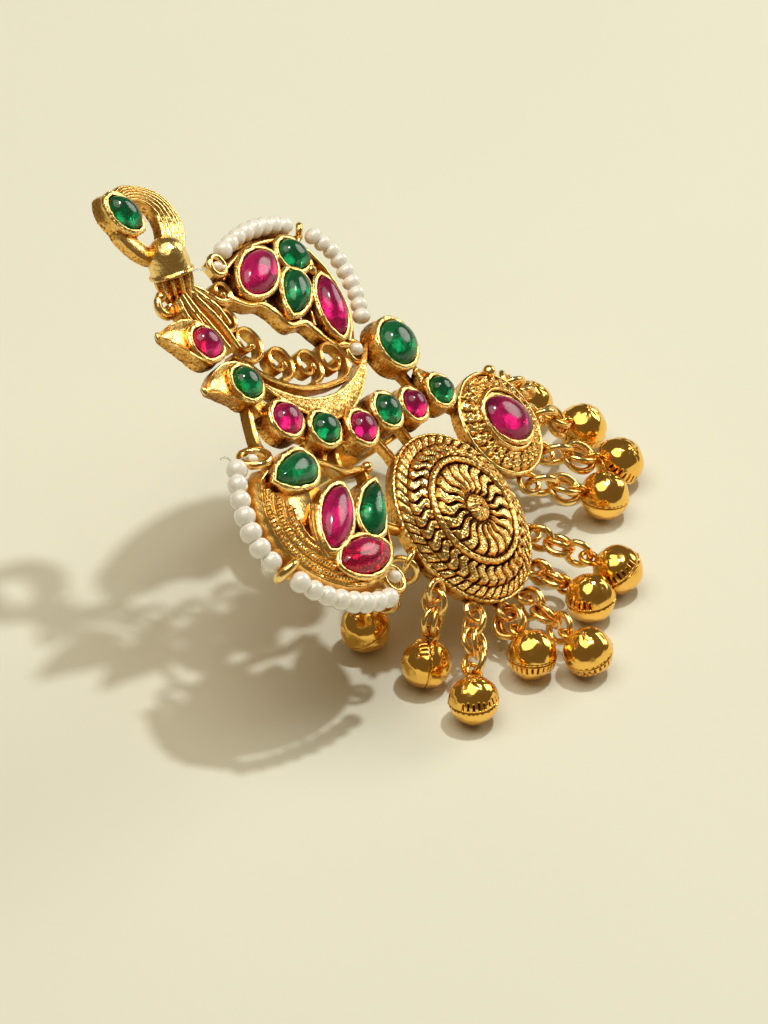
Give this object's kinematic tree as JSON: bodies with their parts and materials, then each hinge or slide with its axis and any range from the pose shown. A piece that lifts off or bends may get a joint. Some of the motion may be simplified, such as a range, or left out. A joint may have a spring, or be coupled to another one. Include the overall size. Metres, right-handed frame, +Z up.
{
  "type": "finger ring",
  "caption": "Openwork finger ring: a tilted peacock ornament with cabochons, pearl strands and hanging bells on a plain round shank.",
  "frame": {"origin": "bottom centre of the bounding box, on the surface that the ring rests on", "axes": "+Z up; +Y towards the raised finial end, so the face of the ornament looks up and towards -Y; +X towards the flower disc and its bells"},
  "size_m": [0.0484, 0.0432, 0.0389],
  "materials": {
    "cast_gold": "gold-plated cast metal, polished on the high parts, darkened in the recesses",
    "chain_gold": "gold-plated wire",
    "bell_gold": "gold-plated pressed sheet, bright polish",
    "ruby": "polished magenta-red cabochon",
    "emerald": "polished green cabochon",
    "pearl": "ivory pearl lustre"
  },
  "bodies": {
    "root": {"cast_frame": "cast_gold", "finial_emerald": "emerald", "leaf_ruby": "ruby", "leaf_emerald": "emerald", "border_ruby_1": "ruby", "border_emerald_2": "emerald", "border_ruby_3": "ruby", "border_emerald_4": "emerald", "border_ruby_5": "ruby", "border_emerald_6": "emerald", "large_emerald": "emerald", "flower_ruby": "ruby", "lower_wing_emerald_1": "emerald", "lower_wing_ruby_1": "ruby", "lower_wing_emerald_2": "emerald", "lower_wing_ruby_2": "ruby", "upper_wing_ruby_1": "ruby", "upper_wing_emerald_1": "emerald", "upper_wing_emerald_2": "emerald", "upper_wing_ruby_2": "ruby", "lower_wing_pearls_1": "pearl", "lower_wing_pearls_2": "pearl", "upper_wing_pearls_1": "pearl", "upper_wing_pearls_2": "pearl", "bell_1": "bell_gold", "bell_1_chain": "chain_gold", "bell_2": "bell_gold", "bell_2_chain": "chain_gold", "bell_3": "bell_gold", "bell_3_chain": "chain_gold", "bell_4": "bell_gold", "bell_4_chain": "chain_gold", "bell_5": "bell_gold", "bell_5_chain": "chain_gold", "bell_6": "bell_gold", "bell_6_chain": "chain_gold", "bell_7": "bell_gold", "bell_7_chain": "chain_gold", "bell_8": "bell_gold", "bell_8_chain": "chain_gold", "bell_9": "bell_gold", "bell_9_chain": "chain_gold", "bell_10": "bell_gold", "bell_10_chain": "chain_gold", "bell_11": "bell_gold", "bell_11_chain": "chain_gold"}
  },
  "joints": []
}
